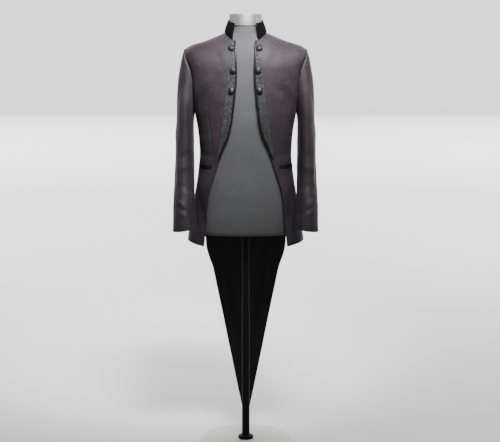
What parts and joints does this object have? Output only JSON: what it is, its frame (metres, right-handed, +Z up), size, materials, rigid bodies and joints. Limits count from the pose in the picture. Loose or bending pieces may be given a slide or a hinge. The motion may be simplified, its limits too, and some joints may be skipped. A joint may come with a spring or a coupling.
{
  "type": "cutaway coat on a limbless dress form with stand",
  "caption": "Cutaway coat with a stand collar, brocade-edged open fronts, jetted pockets and long back tails, worn by a limbless dress form on a round base.",
  "frame": {"origin": "on the floor under the middle of the round base, which is also the bottom centre of the bounding box", "axes": "+Z up, from the base to the neck cap; +X to the wearer's left; the coat faces -Y"},
  "size_m": [0.5472, 0.36, 1.67],
  "materials": {
    "back_left": "anthracite satin-backed suiting with a soft sheen",
    "back_right": "anthracite satin-backed suiting with a soft sheen",
    "button_left_1": "black domed buttons with a carved face",
    "button_left_2": "black domed buttons with a carved face",
    "button_left_3": "black domed buttons with a carved face",
    "button_right_1": "black domed buttons with a carved face",
    "button_right_2": "black domed buttons with a carved face",
    "button_right_3": "black domed buttons with a carved face",
    "collar": "black cotton velvet",
    "edge_binding_left": "black satin piping",
    "edge_binding_right": "black satin piping",
    "facing_left": "woven grey and black brocade",
    "facing_right": "woven grey and black brocade",
    "form_torso": "off-white jersey stretched over the form",
    "front_left": "anthracite satin-backed suiting with a soft sheen",
    "front_right": "anthracite satin-backed suiting with a soft sheen",
    "neck_cap": "satin silver, mottled",
    "pocket_jet_left": "black satin jetting",
    "pocket_jet_right": "black satin jetting",
    "side_left": "anthracite satin-backed suiting with a soft sheen",
    "side_right": "anthracite satin-backed suiting with a soft sheen",
    "sleeve_top_left": "anthracite satin-backed suiting with a soft sheen",
    "sleeve_top_right": "anthracite satin-backed suiting with a soft sheen",
    "sleeve_under_left": "anthracite satin-backed suiting with a soft sheen",
    "sleeve_under_right": "anthracite satin-backed suiting with a soft sheen",
    "stand_base": "off-white powder coat",
    "stand_pole": "black powder coat"
  },
  "bodies": {
    "root": {"back_left": "back_left", "back_right": "back_right", "button_left_1": "button_left_1", "button_left_2": "button_left_2", "button_left_3": "button_left_3", "button_right_1": "button_right_1", "button_right_2": "button_right_2", "button_right_3": "button_right_3", "collar": "collar", "edge_binding_left": "edge_binding_left", "edge_binding_right": "edge_binding_right", "facing_left": "facing_left", "facing_right": "facing_right", "form_torso": "form_torso", "front_left": "front_left", "front_right": "front_right", "neck_cap": "neck_cap", "pocket_jet_left": "pocket_jet_left", "pocket_jet_right": "pocket_jet_right", "side_left": "side_left", "side_right": "side_right", "sleeve_top_left": "sleeve_top_left", "sleeve_top_right": "sleeve_top_right", "sleeve_under_left": "sleeve_under_left", "sleeve_under_right": "sleeve_under_right", "stand_base": "stand_base", "stand_pole": "stand_pole"}
  },
  "joints": []
}
